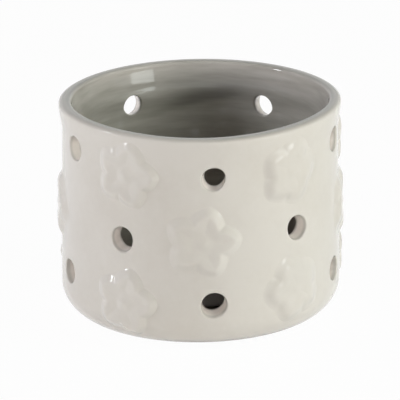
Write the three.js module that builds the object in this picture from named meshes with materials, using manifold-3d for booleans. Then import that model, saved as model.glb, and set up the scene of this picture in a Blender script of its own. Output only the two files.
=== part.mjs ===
// A pierced ceramic tealight holder with applied blossoms, and the tealight that stands in it.
// Millimetres, +Z up. The origin is the middle of the underside. Angles round the wall start at -Y, the
// front, and grow towards +X.

import * as THREE from "three";
import { mergeVertices } from "three/addons/utils/BufferGeometryUtils.js";
import Module from "manifold-3d";

const wasm = await Module();
wasm.setup();

// Cup
const cupHeight = 70;
const insideRadius = 40.2;
const wallThickness = 4.2; // at the neck, where the wall is thinnest
const footSwell = 0.7; // how far the outside stands out past the neck where the rounded bottom edge begins
const lipFlare = 1; // how far the lip stands out past the neck
const lipDepth = 10; // from the rim down to the neck, where the flare begins
const rimRounding = 1.3;
const footRounding = 10;
const floorThickness = 5;
const insideCornerRounding = 6;
const footRingWidth = 3.5;
const footRecessDepth = 1;

// Pattern of pierced holes and blossoms, alternating like a chequerboard
const columns = 10;
const topRowDrop = 13.2; // from the rim down to the top row's centres
const bottomRowHeight = 15.2; // measured up the wall from the underside
const riseHeight = 0.5; // one step of the rises in the rows below
const holeOuterRadius = 4; // a hole, pushed through from outside, narrows inwards
const holeInnerRadius = 3.4;
const holeEdgeRounding = 0.5;

// Blossom
const petals = 5;
const tipRadius = 11.9; // from the blossom's centre to a petal's tip
const notchRadius = 9.2; // and to the notch between two petals
const tipTurn = 8; // degrees off a petal's middle within which its tip is rounded
const sideReach = 0.5; // how much further than upwards a blossom, pressed round the wall, reaches sideways
const sizeVariation = 0.4; // by which the tips of hand-shaped blossoms differ
const petalVariation = 0.2; // and those of one blossom's petals
const relief = 1.8;
const bevelWidth = 2.6;
const blossomEdge = 0.35; // thickness left at the blossom's outline
const dishDepth = 0.8; // from the petals' raised edge down to the hollow round the boss
const dishWidth = 4; // from the raised edge in to where the hollow is deepest
const creaseDepth = 0.6;
const creaseWidth = 0.9;
const creaseLength = 4; // from a notch in towards the centre
const bossHeight = 0.7;
const bossRadius = 1.9;
const blossomGap = 0.3; // between a blossom's back and the wall

// Tealight
const tealightRadius = 19;
const tealightHeight = 16;
const foilThickness = 0.4;
const foilCornerRounding = 1.6;
const foilRimRadius = 0.55;
const waxDrop = 2; // from the foil cup's rim down to the wax
const waxMeniscus = 0.5;
const waxMeniscusWidth = 1.6;
const wickRadius = 0.9;
const wickStandout = 7; // above the wax
const wickLean = 1.2;
const tabRadius = 6;
const tabThickness = 0.4;
const collarHeight = 4;
const collarWall = 0.5;
const tealightGap = 0.3; // between the tealight's pieces, and below the foil cup

// Facets
const turnSteps = 64;
const tealightSteps = 28;
const holeSteps = 14;
const arcSteps = 3;
const blossomSteps = 6 * petals;
const faceRings = [1, 0.8, 0.5, 0.2, 0]; // shares of the way out from a blossom's centre

// Sizes that follow
const neckWallRadius = insideRadius + wallThickness;
const footWallRadius = neckWallRadius + footSwell;
const lipRadius = neckWallRadius + lipFlare;
const rimInset = cupHeight - rimRounding;
const lipStart = cupHeight - lipDepth;
const footFlatRadius = footWallRadius - footRounding;
const footRecessRadius = footFlatRadius - footRingWidth;
const topRowHeight = cupHeight - topRowDrop;
const middleRowHeight = (topRowHeight + bottomRowHeight) / 2;
const columnAngle = 360 / columns;

// Rows of the pattern. It is pierced and placed by hand, so each place is a little off the grid: turns are
// degrees round the wall and rises are steps up it, for each column from the front towards +X. Spins are the
// degrees by which each blossom's right-hand petal points above level.
const rows = [
  {
    name: "top",
    height: topRowHeight,
    holeFirst: true,
    turns: [0, -1.5, -3.5, -8, -1, 2, -8, -12, 3, -1],
    rises: [0, -2, 5, -1, 0, -3, 1, -2, 5, -1],
    spins: [3, 16, -12, 31, 3],
  },
  {
    name: "middle",
    height: middleRowHeight,
    holeFirst: false,
    turns: [-4.5, 2, 9, 4, 2, -1, -6, -15, -19, -3],
    rises: [0, 2, 1, -1, 1, 0, 0, 1, 2, -2],
    spins: [5, -8, 25, 14, -3],
  },
  {
    name: "bottom",
    height: bottomRowHeight,
    holeFirst: true,
    turns: [0, 0, -5, -6, 1, -2, -12, -10, -2.5, -1.5],
    rises: [0, 4, 3, 3, 0, 1, 0, 0, 4, -2],
    spins: [38, 11, -20, 4, 6],
  },
];

// One entry for each place in the pattern: its row, whether it is a hole, its angle, height and spin.
const places = rows.flatMap((row) =>
  Array.from({ length: columns }, (_, column) => ({
    row: row.name,
    column,
    isHole: (column % 2 === 0) === row.holeFirst,
    angle: THREE.MathUtils.degToRad(column * columnAngle + row.turns[column % row.turns.length]),
    height: row.height + riseHeight * row.rises[column % row.rises.length],
    spin: THREE.MathUtils.degToRad(row.spins[Math.floor(column / 2) % row.spins.length]),
  })),
);

const smooth = (value, from, to) => THREE.MathUtils.smoothstep(value, from, to);
const point = (radius, height) => new THREE.Vector2(radius, height);

// Points of a circular arc from one angle to another, in degrees, both ends included.
function arc(centreRadius, centreHeight, radius, fromAngle, toAngle, steps = arcSteps) {
  return Array.from({ length: steps + 1 }, (_, step) => {
    const angle = THREE.MathUtils.degToRad(fromAngle + ((toAngle - fromAngle) * step) / steps);
    return point(centreRadius + radius * Math.cos(angle), centreHeight + radius * Math.sin(angle));
  });
}

// A turned form standing on +Z.
function turned(profile, steps = turnSteps) {
  return new THREE.LatheGeometry(profile, steps).rotateX(Math.PI / 2);
}

function toSolid(geometry) {
  const bare = geometry.clone();
  bare.deleteAttribute("normal");
  bare.deleteAttribute("uv");
  const merged = mergeVertices(bare, 1e-4);
  return new wasm.Manifold(
    new wasm.Mesh({
      numProp: 3,
      vertProperties: new Float32Array(merged.attributes.position.array),
      triVerts: new Uint32Array(merged.index.array),
    }),
  );
}

function toGeometry(solid) {
  const mesh = solid.getMesh();
  const geometry = new THREE.BufferGeometry();
  geometry.setAttribute("position", new THREE.BufferAttribute(mesh.vertProperties, 3));
  geometry.setIndex(new THREE.BufferAttribute(mesh.triVerts, 1));
  geometry.computeVertexNormals();
  return geometry;
}

function part(name, geometry, color, roughness, metalness = 0) {
  const mesh = new THREE.Mesh(geometry, new THREE.MeshStandardMaterial({ color, roughness, metalness }));
  mesh.name = name;
  return mesh;
}

// Outside radius of the wall at a height above its rounded bottom edge.
function wallRadius(height) {
  const rise = (height - footRounding) / (lipStart - footRounding);
  const flare = lipFlare * smooth(height, lipStart, rimInset);
  return footWallRadius - footSwell * Math.min(rise, 1) + flare;
}

// The outside of the cup at a distance up the wall: radius, height and the way that it faces.
function wallPoint(distance) {
  if (distance >= footRounding) return { radius: wallRadius(distance), height: distance, out: 1, up: 0 };
  const bend = (footRounding - distance) / footRounding;
  return {
    radius: footFlatRadius + footRounding * Math.cos(bend),
    height: footRounding - footRounding * Math.sin(bend),
    out: Math.cos(bend),
    up: -Math.sin(bend),
  };
}

// Cup: underside with its foot ring, wall, flared lip, rounded rim, inside wall and floor.
function cupProfile() {
  const lipHeights = [0, 0.35, 0.65, 1].map((share) => lipStart + (rimInset - lipStart) * share);
  return [
    point(0, footRecessDepth),
    point(footRecessRadius - footRecessDepth, footRecessDepth),
    point(footRecessRadius, 0),
    ...arc(footFlatRadius, footRounding, footRounding, -90, 0, 2 * arcSteps),
    ...lipHeights.map((height) => point(wallRadius(height), height)),
    ...arc(lipRadius - rimRounding, rimInset, rimRounding, 0, 90).slice(1),
    ...arc(insideRadius + rimRounding, rimInset, rimRounding, 90, 180),
    ...arc(
      insideRadius - insideCornerRounding,
      floorThickness + insideCornerRounding,
      -insideCornerRounding,
      180,
      90,
    ),
    point(0, floorThickness),
  ];
}

// The clay taken away by one tapered hole, which widens round its edges on both sides of the wall.
function holeCutter({ angle, height }) {
  const innerMouth = holeInnerRadius + holeEdgeRounding;
  const outerMouth = holeOuterRadius + holeEdgeRounding;
  const outside = wallRadius(height);
  const overshoot = holeOuterRadius;
  const profile = [
    point(0, insideRadius - overshoot),
    point(innerMouth, insideRadius - overshoot),
    ...arc(innerMouth, insideRadius + holeEdgeRounding, -holeEdgeRounding, 90, 0, 2),
    ...arc(outerMouth, outside - holeEdgeRounding, -holeEdgeRounding, 0, -90, 2),
    point(outerMouth, outside + overshoot),
    point(0, outside + overshoot),
  ];
  const cutter = new THREE.LatheGeometry(profile, holeSteps);
  return cutter.rotateX(Math.PI).rotateZ(angle).translate(0, 0, height);
}

function holderBody() {
  const cut = places
    .filter((place) => place.isHole)
    .reduce((body, place) => body.subtract(toSolid(holeCutter(place))), toSolid(turned(cupProfile())));
  return part("holder_body", toGeometry(cut), 0xd8d5cd, 0.22);
}

// Distance from a blossom's centre to the tip of one of its petals.
function tipDistance(blossom, petal) {
  const size = sizeVariation * Math.sin(1.7 * blossom + 4.9);
  return tipRadius + size + petalVariation * Math.sin(2.3 * petal + 1.7 * blossom);
}

// The petal that a direction lies in, and how far the direction is off that petal's middle.
function nearestPetal(direction) {
  const spread = (2 * Math.PI) / petals;
  const index = Math.round(direction / spread);
  return { index: THREE.MathUtils.euclideanModulo(index, petals), off: direction - index * spread };
}

// Distance from a blossom's centre to its outline, which falls from each petal's rounded tip to a notch.
function outlineRadius(blossom, direction) {
  const { index, off } = nearestPetal(direction);
  const rounding = THREE.MathUtils.degToRad(tipTurn);
  const fall = (angle) => Math.hypot(angle, rounding) - rounding;
  const tip = tipDistance(blossom, index);
  return tip - ((tip - notchRadius) * fall(off)) / fall(Math.PI / petals);
}

// Height of a blossom's face above the wall: petals with a bevelled, raised edge, a crease inside each
// notch, and a hollow round a small boss.
function reliefAt(blossom, radius, direction) {
  const { off } = nearestPetal(direction);
  const toEdge = outlineRadius(blossom, direction) - radius;
  const toCrease = radius * Math.sin(Math.PI / petals - Math.abs(off));
  const pad = blossomEdge + (relief - blossomEdge) * smooth(toEdge, 0, bevelWidth);
  const dish = dishDepth * smooth(toEdge, bevelWidth, bevelWidth + dishWidth);
  const creaseReach = smooth(radius, notchRadius - creaseLength, notchRadius);
  const crease = creaseDepth * creaseReach * Math.exp(-((toCrease / creaseWidth) ** 2));
  const boss = bossHeight * Math.exp(-((radius / bossRadius) ** 2));
  return Math.max(pad - dish - crease + boss, blossomEdge);
}

// Rings in a blossom's back, close enough that its facets stay clear of the wall that they wrap round.
function backRings(height) {
  const bend = height - tipRadius < footRounding ? footRounding : neckWallRadius;
  return Math.ceil(tipRadius / Math.sqrt(4 * bend * blossomGap));
}

// One blossom: a disc drawn out to the petals' outline, spun and wrapped round the wall.
function blossomGeometry({ angle, height, spin }, blossom) {
  const rings = backRings(height);
  const back = Array.from({ length: rings + 1 }, (_, ring) => point(ring / rings, 0));
  const face = faceRings.map((share) => point(share, 1));
  const geometry = new THREE.LatheGeometry([...back, ...face], blossomSteps);
  const position = geometry.getAttribute("position");
  for (let index = 0; index < position.count; index += 1) {
    const direction = Math.atan2(position.getX(index), position.getZ(index));
    const share = Math.hypot(position.getX(index), position.getZ(index));
    const radius = share * outlineRadius(blossom, direction);
    const onFace = position.getY(index) > 0.5;
    const lift = blossomGap + (onFace ? reliefAt(blossom, radius, direction) : 0);
    const across = radius * (1 + sideReach / tipRadius) * Math.cos(direction + spin);
    const wall = wallPoint(height + radius * Math.sin(direction + spin));
    const turn = angle + across / wallRadius(height);
    const out = wall.radius + lift * wall.out;
    position.setXYZ(index, out * Math.sin(turn), -out * Math.cos(turn), wall.height + lift * wall.up);
  }
  return geometry;
}

function blossoms() {
  return places
    .filter((place) => !place.isHole)
    .map((place, index) => {
      const name = `flower_${place.row}_${Math.floor(place.column / 2) + 1}`;
      return part(name, blossomGeometry(place, index), 0xdbd8d0, 0.22);
    });
}

// Tealight: foil cup, wax, and the wick in its tab. Heights are measured from the underside of the foil cup.
const waxRadius = tealightRadius - foilThickness - tealightGap;
const waxBottom = foilThickness + tealightGap;
const waxTop = tealightHeight - waxDrop;
const wickBore = wickRadius + tealightGap;
const collarRadius = wickBore + collarWall;
const tabTop = waxBottom + tabThickness;
const collarTop = tabTop + collarHeight;

function foilCup() {
  const outer = foilCornerRounding;
  const inner = foilCornerRounding - foilThickness;
  const middle = tealightRadius - foilThickness / 2;
  const bead = tealightHeight - foilRimRadius;
  const profile = [
    point(0, 0),
    ...arc(tealightRadius - outer, outer, outer, -90, 0),
    ...arc(middle, bead, foilRimRadius, -45, 225, 6),
    ...arc(tealightRadius - outer, outer, -inner, 180, 90),
    point(0, foilThickness),
  ];
  return part("tealight_cup", turned(profile, tealightSteps), 0xc9cacb, 0.35, 1);
}

function wax() {
  const recess = tabRadius + tealightGap;
  const collarRecess = collarRadius + tealightGap;
  const corner = foilCornerRounding - foilThickness;
  const profile = [
    point(recess, waxBottom),
    ...arc(waxRadius - corner, waxBottom + corner, corner, -90, 0, 2),
    point(waxRadius, waxTop + waxMeniscus),
    point(waxRadius - waxMeniscusWidth, waxTop),
    point(wickBore, waxTop),
    point(wickBore, collarTop + tealightGap),
    point(collarRecess, collarTop + tealightGap),
    point(collarRecess, tabTop + tealightGap),
    point(recess, tabTop + tealightGap),
    point(recess, waxBottom),
  ];
  return part("tealight_wax", turned(profile, tealightSteps), 0xf1ece0, 0.5);
}

function wickTab() {
  const profile = [
    point(0, waxBottom),
    point(tabRadius, waxBottom),
    point(tabRadius, tabTop),
    point(collarRadius, tabTop),
    point(collarRadius, collarTop),
    point(wickBore, collarTop),
    point(wickBore, tabTop),
    point(0, tabTop),
  ];
  return part("tealight_wick_tab", turned(profile, tealightSteps), 0xb9b9b6, 0.4, 1);
}

function wick() {
  const start = new THREE.Vector3(0, 0, tabTop + tealightGap);
  const surface = new THREE.Vector3(0, 0, waxTop);
  const bend = new THREE.Vector3(0, 0, waxTop + wickStandout / 2);
  const tip = new THREE.Vector3(wickLean, 0, waxTop + wickStandout);
  const path = new THREE.CurvePath();
  path.add(new THREE.LineCurve3(start, surface));
  path.add(new THREE.QuadraticBezierCurve3(surface, bend, tip));
  const section = new THREE.Shape().absarc(0, 0, wickRadius, 0, 2 * Math.PI);
  const geometry = new THREE.ExtrudeGeometry(section, { steps: 10, curveSegments: 4, extrudePath: path });
  return part("tealight_wick", geometry, 0xe9e4d6, 0.9);
}

const holder = new THREE.Group();
holder.add(holderBody(), ...blossoms());

const tealight = new THREE.Group();
tealight.position.z = floorThickness + tealightGap;
tealight.add(foilCup(), wax(), wickTab(), wick());

const candleHolder = new THREE.Group();
candleHolder.add(holder, tealight);

export default candleHolder;
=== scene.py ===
"""Looks of a pierced, glazed tealight holder with raised blossoms, and of the tealight that stands in it.

Forms are worked out in millimetres, with +Z up, and become metres when a mesh is made. Angles round the
wall start at -Y, the front, and grow towards +X. The main sizes repeat those of the solid model."""

import math

import bpy
import numpy as np
from mathutils import Matrix, Vector


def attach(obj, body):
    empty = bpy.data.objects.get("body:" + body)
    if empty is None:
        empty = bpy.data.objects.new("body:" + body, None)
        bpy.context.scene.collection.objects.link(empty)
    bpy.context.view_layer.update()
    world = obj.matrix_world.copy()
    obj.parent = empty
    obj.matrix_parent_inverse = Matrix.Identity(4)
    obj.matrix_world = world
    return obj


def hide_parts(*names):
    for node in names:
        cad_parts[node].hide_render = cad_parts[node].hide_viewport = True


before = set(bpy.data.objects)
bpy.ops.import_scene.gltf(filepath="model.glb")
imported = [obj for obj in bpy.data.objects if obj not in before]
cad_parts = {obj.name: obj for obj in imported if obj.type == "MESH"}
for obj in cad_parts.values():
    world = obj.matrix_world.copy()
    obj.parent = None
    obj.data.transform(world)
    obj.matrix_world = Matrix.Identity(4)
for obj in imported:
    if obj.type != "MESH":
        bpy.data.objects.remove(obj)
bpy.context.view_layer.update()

MM = 0.001

# Cup
CUP_HEIGHT = 70.0
INSIDE_RADIUS = 40.2
WALL_THICKNESS = 4.2
FOOT_SWELL = 0.7
LIP_FLARE = 1.0
LIP_DEPTH = 10.0
RIM_ROUNDING = 1.3
RIM_OUTER_WIDTH = 1.6  # breadth of the rounding on the outside of the rim
RIM_INNER_WIDTH = 0.9
RIM_LEAN = 0.3  # how much higher the rim stands on one side, and lower on the other
RIM_LEAN_SIDE = math.radians(105)
RIM_WAVE = 0.8  # how much the rim rises on both sides of the front
RIM_WAVE_PEAK = 1.69  # about the highest value of the wave's formula
RIM_RISE_START = 38.0  # height from which the wall follows the lean and the wave
RIDGE_DEPTH = 0.9  # soft ridge inside, where the lip begins
RIDGE_UNEVENNESS = 0.2
RIDGE_PHASE = 0.5
RIDGE_START = 55.5
INNER_LIP_FLARE = 2.0
INNER_LIP_START = 60.0
INNER_LIP_EASE = 1.5
FOOT_ROUNDING = 10.0
FOOT_INSET = 0.7  # how much narrower the foot is on one side
FOOT_INSET_SIDE = math.radians(45)
FOOT_INSET_HEIGHT = 14.0
FLOOR_THICKNESS = 5.0
INSIDE_CORNER_ROUNDING = 6.0
FOOT_RING_WIDTH = 3.5
FOOT_RECESS_DEPTH = 1.0
FOOT_RECESS_SLOPE = 1.4
NECK_RADIUS = INSIDE_RADIUS + WALL_THICKNESS
FOOT_RADIUS = NECK_RADIUS + FOOT_SWELL
LIP_RADIUS = NECK_RADIUS + LIP_FLARE
RIM_INSET = CUP_HEIGHT - RIM_ROUNDING
LIP_START = CUP_HEIGHT - LIP_DEPTH
FOOT_FLAT_RADIUS = FOOT_RADIUS - FOOT_ROUNDING
FOOT_RECESS_RADIUS = FOOT_FLAT_RADIUS - FOOT_RING_WIDTH
INSIDE_CORNER = FLOOR_THICKNESS + INSIDE_CORNER_ROUNDING

# Traces of the hand that threw the cup. Phases are in radians
WOBBLE = 0.1  # depth of the oval that the wall makes in place of a circle
WOBBLE_WAVE_SHARE = 0.5  # depth of a finer wave, as a share of the oval's
WOBBLE_PHASES = (0.7, 2.0)  # of the oval and of the finer wave
WOBBLE_TWIST = 0.04  # shift of the finer wave's phase with each millimetre of height
THROWING_RING_DEPTH = 0.06
THROWING_RING_PITCH = 4.6
THROWING_RING_SWAY = 0.8
THROWING_RING_FADES = (8.0, 6.0)  # heights over which the rings fade above the floor and below the rim
RIPPLE_SHARE = 0.6  # depth of a finer ripple over the rings, as a share of theirs
RIPPLE_RATE = 1.7
RIPPLE_PHASE = 1.0

# Pattern of holes and blossoms. Each place has its own turn in degrees and rise in steps. Each blossom has
# its own spin in degrees, softness of its left and right sides, from sharp at -0.5 to a plain swelling at
# 1, and tilt, the share of the relief by which its right side stands higher than its left. Each hole has
# its own size and lean, which is how far its inner end lies across and up in millimetres
COLUMNS = 10
TOP_ROW_DROP = 13.2
BOTTOM_ROW_HEIGHT = 15.2
RISE_HEIGHT = 0.5
TOP_ROW_HEIGHT = CUP_HEIGHT - TOP_ROW_DROP
MIDDLE_ROW_HEIGHT = (TOP_ROW_HEIGHT + BOTTOM_ROW_HEIGHT) / 2
ROWS = (
    {
        "name": "top",
        "height": TOP_ROW_HEIGHT,
        "hole_first": True,
        "turns": (0, -1.5, -3.5, -8, -1, 2, -8, -12, 3, -1),
        "rises": (0, -2, 5, -1, 0, -3, 1, -2, 5, -1),
        "spins": (3, 16, -12, 31, 3),
        "softness": ((0.3, 1), (0.2, 0.2), (0.2, 0.2), (0.3, 0.3), (0.15, -0.4)),
        "tilts": (0, 0.1, -0.1, 0.2, 0.3),
        "bores": ((0.95, 0.9, 0.2), (1, 0, 0), (1, 0.2, 0), (0.97, 0, 0.2), (1, 0, 0)),
    },
    {
        "name": "middle",
        "height": MIDDLE_ROW_HEIGHT,
        "hole_first": False,
        "turns": (-4.5, 2, 9, 4, 2, -1, -6, -15, -19, -3),
        "rises": (0, 2, 1, -1, 1, 0, 0, 1, 2, -2),
        "spins": (5, -8, 25, 14, -3),
        "softness": ((0.1, -0.1), (0.9, 0.2), (0.3, 0.3), (0.2, 0.2), (0.2, 0.9)),
        "tilts": (0.2, 0, 0.1, -0.1, 0),
        "bores": ((1, 0, 0), (1, 0.2, 0.1), (0.98, 0, 0), (1, -0.2, 0), (1, 0, 0)),
    },
    {
        "name": "bottom",
        "height": BOTTOM_ROW_HEIGHT,
        "hole_first": True,
        "turns": (0, 0, -5, -6, 1, -2, -12, -10, -2.5, -1.5),
        "rises": (0, 4, 3, 3, 0, 1, 0, 0, 4, -2),
        "spins": (38, 11, -20, 4, 6),
        "softness": ((0.6, 1), (0.2, 0.2), (0.2, 0.2), (0.3, 0.3), (0.15, -0.4)),
        "tilts": (0, -0.1, 0.1, 0.2, 0.5),
        "bores": ((1.04, 0, 0.9), (1, 0, 0.3), (1, 0, 0.2), (1, 0.2, 0), (1, 0, 0.3)),
    },
)
HOLE_OUTER_RADIUS = 4.0  # a hole, pushed through from outside, narrows inwards
HOLE_INNER_RADIUS = 3.4
HOLE_EDGE_ROUNDING = 0.5
HOLE_OVAL = 0.025  # shares of its radius by which a hole is oval and three-cornered
HOLE_CORNERS = 0.015
HOLE_OVAL_PHASE = 1.9  # radians by which that unevenness shifts from hole to hole
HOLE_CORNERS_PHASE = 2.7

# Blossom
PETALS = 5
TIP_RADIUS = 11.9
NOTCH_RADIUS = 9.2
NOTCH_FILL = 1.2  # how much shallower the notches of the softest blossom are
SHARPEST = -0.5  # softness of the sharpest blossom
SHARP_SHRINK = 1.2  # how much smaller the sharpest blossom is
TIP_TURN = math.radians(8)
SIDE_REACH = 0.5
SIZE_VARIATION = 0.4
PETAL_VARIATION = 0.2
BLOSSOM_PHASE = 1.7  # radians by which the variation shifts from blossom to blossom
PETAL_PHASE = 2.3  # and from petal to petal
SIZE_PHASE = 4.9
RELIEF = 1.5
BEVEL_WIDTH = 3.2
EDGE_EASE = 1.5  # rounding at the foot and at the top of the bevel
SOFT_BEVEL_WIDTH = 6.7  # breadth and rounding of the bevel of the softest blossom
SOFT_EDGE_EASE = 3.4
SKIRT_WIDTH = 0.8  # glaze that runs out from the blossom's outline on to the wall
SKIRT_DIP = 0.1  # how far the skirt's end sinks into the wall
DISH_DEPTH = 0.6
DISH_WIDTH = 3.6
CREASE_DEPTH = 0.45
CREASE_WIDTH = 0.7
CREASE_LENGTH = 4.0
BOSS_HEIGHT = 0.6
BOSS_RADIUS = 1.8
BACK_DEPTH = 0.5  # how deep the blossom's back lies in the wall

# Tealight
TEALIGHT_RADIUS = 19.0
TEALIGHT_HEIGHT = 16.0
TEALIGHT_GAP = 0.3
FOIL_THICKNESS = 0.4
FOIL_CORNER_ROUNDING = 1.6
FOIL_RIM_RADIUS = 0.55
WAX_DROP = 2.0
WAX_MENISCUS = 0.5
WAX_MENISCUS_WIDTH = 1.6
WAX_SINK = 0.35  # how far the wax sank round the wick as it set
WAX_SINK_WIDTH = 5.0
WAX_CLING = 0.5  # how far the wax climbs the wick
WAX_CLING_WIDTH = 0.6
WICK_RADIUS = 0.9
WICK_STANDOUT = 7.0
WICK_LEAN = 1.2
WICK_STRANDS = 3
WICK_GROOVE = 0.24  # depth of the grooves between strands, as a share of the radius
WICK_TWIST = 1.6  # radians for each millimetre
WICK_TIP_LENGTH = 0.8
WICK_TIP_TAPER = 0.25  # share of the radius that is lost at the very tip
WICK_TIP_DOME = 0.15
TAB_RADIUS = 6.0
TAB_THICKNESS = 0.4
COLLAR_HEIGHT = 4.0
COLLAR_WALL = 0.5
TEALIGHT_BASE = FLOOR_THICKNESS + TEALIGHT_GAP
WAX_RADIUS = TEALIGHT_RADIUS - FOIL_THICKNESS - TEALIGHT_GAP
WAX_BOTTOM = FOIL_THICKNESS + TEALIGHT_GAP
WAX_TOP = TEALIGHT_HEIGHT - WAX_DROP
WICK_BORE = WICK_RADIUS + TEALIGHT_GAP
WICK_TOP = WAX_TOP + WICK_STANDOUT
COLLAR_RADIUS = WICK_BORE + COLLAR_WALL
TAB_TOP = WAX_BOTTOM + TAB_THICKNESS
COLLAR_TOP = TAB_TOP + COLLAR_HEIGHT

# Mesh density
TURN_STEPS = 240
WALL_ROWS = 52
WALL_BOTTOM = 9.0  # distance up the wall where the evenly spaced rows begin
AXIS_RING_RADIUS = 2.0  # innermost ring of the underside and of the floor
UNDERSIDE_RINGS = 39
FOOT_RINGS = 16
RIM_RINGS = 7  # on each side of the rim's top
RIM_INNER_TURN = 90.01  # degrees over the rim, just past its top, where its inner rounding begins
CORNER_RINGS = 8
FLOOR_RINGS = 19
HOLE_BLOCK = 5  # grid steps from a hole's centre to the edge of the patch round it
HOLE_PATCH_SHARES = (0.75, 0.5, 0.3, 0.14)  # rings from the patch's edge, at 1, in to the hole's mouth
HOLE_EDGE_RINGS = 8
HOLE_BORE_RINGS = 6
BLOSSOM_STEPS = 36 * PETALS
BLOSSOM_RINGS = 44
BLOSSOM_SKIRT_RINGS = 5
BLOSSOM_BACK_RINGS = 4
OUTLINE_STEPS = 144 * PETALS
FOIL_STEPS = 192
FOIL_INNERMOST_RADIUS = 4.0
FOIL_FLOOR_RINGS = 5
FOIL_CORNER_STEPS = 6
FOIL_SIDE_RINGS = 23
FOIL_BEAD_STEPS = 14
WAX_STEPS = 96
WAX_CORNER_STEPS = 5
WAX_TOP_RINGS = 40
WICK_STEPS = 36
WICK_RINGS = 90

# Colours and finish of the glaze
NOISE_SPAN = (0.3, 0.7)  # most values of a noise lie between these
GLAZE_DARK = (0.665, 0.628, 0.578)
GLAZE_PALE = (0.705, 0.672, 0.628)
GLAZE_ROUGHNESS = (0.04, 0.09)
GLAZE_IOR = 1.5
MOTTLE_SPAN = (0.45, 0.75)
MOTTLE_GRAIN = 0.25  # share of a fine grain over the broad clouds
BORE_LIT_DARK = (0.88, 0.815, 0.76)  # painted light: a lighter glaze inside the holes
BORE_LIT_PALE = (0.92, 0.855, 0.805)
BORE_SKIN = (1.2, 0.4)  # depths below the outside between which that painted light gives way to the outer glaze
BORE_LIP_FADE = 4.0
BORE_FOOT_FADE = (8.0, 9.5)
# painted shade: the inside is given a darker glaze than the outside
SHADED_INSIDE_DARK = (0.46, 0.437, 0.395)
SHADED_INSIDE_PALE = (0.64, 0.612, 0.57)
INSIDE_SKIN = (0.3, 1.2)  # depths behind the inside between which its colour ends
STREAK_SPAN = (0.3, 0.62)
STREAK_STRETCH = (0.12, 0.12, 1)  # streaks run round the cup
RIM_TOP_SHADE_COLOR = (0.45, 0.42, 0.37)  # painted shade on the upward faces on top of the rim
RIM_TOP_SHADE_SHARE = 0.35
RIM_TOP_SHADE_FADE = 1.0
RIM_TOP_SHADE_UPWARD = (0.45, 0.85)  # how much a face looks up where the painted shade begins, and where it is full
CLAY_DARK = (0.56, 0.52, 0.45)
CLAY_PALE = (0.68, 0.64, 0.57)
CLAY_ROUGHNESS = 0.85
GLAZE_LINE = (0.3, 0.5)  # heights over which the glaze begins above the bare foot ring
GLAZE_LINE_WAVER = 0.3

# Painted shade inside the cup. Heights, and sides from left to right, are in millimetres
SHADE_RING_COLOR = (0.09, 0.085, 0.075)  # painted shade: a dark ring below the lip
SHADE_RING_TILT = 0.2  # how much higher the ring lies with each millimetre to the right
SHADE_RING_FOOT = (54.0, 57.0)  # heights over which it begins, and over which it thins out
SHADE_RING_TOP = (58.0, 62.5)
SHADE_RING_ON_LIP = 0.25
SHADE_RING_MIDDLE = 6.0
SHADE_RING_SPREAD = (4.0, 20.0)  # distances to the side of its middle over which it goes from dense to thin
SHADE_RING_DENSITY = (0.55, 0.03)
SHADE_RING_BEHIND = (0.0, 10.0)  # distances behind the cup's axis over which it begins
LIP_SHADE_COLOR = (0.09, 0.085, 0.095)  # painted shade: a thin grey darkening, densest on the right of the lip
LIP_SHADE_HEIGHTS = (56.0, 62.0)
LIP_SHADE_DENSITY = (0.02, 0.2)
LIP_SHADE_SIDES = (-10.0, 30.0)
LIP_SHADE_SIDE_SHARES = (0.35, 1.0)
DEEP_SHADE_COLOR = (0.13, 0.09, 0.065)  # warm painted shade low down, which leaves the left bare
DEEP_SHADE_HEIGHTS = (30.0, 46.0)
DEEP_SHADE_DENSITY = 0.4
DEEP_SHADE_SIDES = (-22.0, -4.0)

# Colours and finish of the tealight
FOIL_DARK = (0.77, 0.77, 0.78)
FOIL_PALE = (0.79, 0.79, 0.8)
FOIL_LINE_SPAN = (0.35, 0.65)
FOIL_LINE_STRETCH = (1, 1, 0.05)  # drawing lines run upright
FOIL_ROUGHNESS = 0.36
TAB_ROUGHNESS = 0.34
DENT_ROUGHNESS = 0.03  # how much the roughness varies with the dents
WAX_DARK = (0.83, 0.79, 0.69)
WAX_PALE = (0.9, 0.87, 0.79)
WAX_ROUGHNESS = (0.35, 0.5)
WAX_IOR = 1.44
WAX_LIGHT_WEIGHT = 0.5
WAX_LIGHT_REACH = (4.0, 3.5, 2.5)  # how far red, green and blue light gets
COTTON_DARK = (0.7, 0.66, 0.57)
COTTON_PALE = (0.88, 0.85, 0.77)
COTTON_ROUGHNESS = 0.75
COTTON_SHEEN = 0.2

# Stage. Distances are in metres, and heights and depths of the sky are shares of its radius
WHITE = (1, 1, 1)
SKY_LIGHT = 5.5  # strength at the horizon, which fades out up to a height
SKY_LIGHT_TOP = 0.25
SKY_FRONT_COLOR = (1, 0.95, 0.92)
SKY_BACK_COLOR = (0.3, 0.31, 0.36)
SKY_BLEND = (-0.5, 0.5)  # depths over which the front's colour gives way to the back's
STAGE_PAINT = (0.95, 0.95, 0.95)
STAGE_GLOW = 0.97  # share of pure white in the floor where it is seen
STAGE_RADIUS = 4.0
STAGE_SIDES = 64

# Lamps. Sides are degrees to the right of the camera, and mirrored lamps show in gloss
LAMP_FIELDS = ("name", "side", "elevation", "distance", "size", "power", "color", "mirrored")
LAMPS = (
    ("window_right", 54, 8, 1.2, (0.5, 0.24), 1.5, (0.95, 1, 0.97), True),
    ("softbox_right", 75, 30, 1.2, (0.6, 0.6), 6.2, (0.93, 0.99, 0.89), False),
    ("softbox_left", -92, 22, 1.2, (0.6, 0.6), 3.7, (0.97, 0.97, 1), False),
    ("window_left", -79, 22, 1.0, (0.15, 0.15), 1.4, (0.93, 0.97, 1), True),
)

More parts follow.
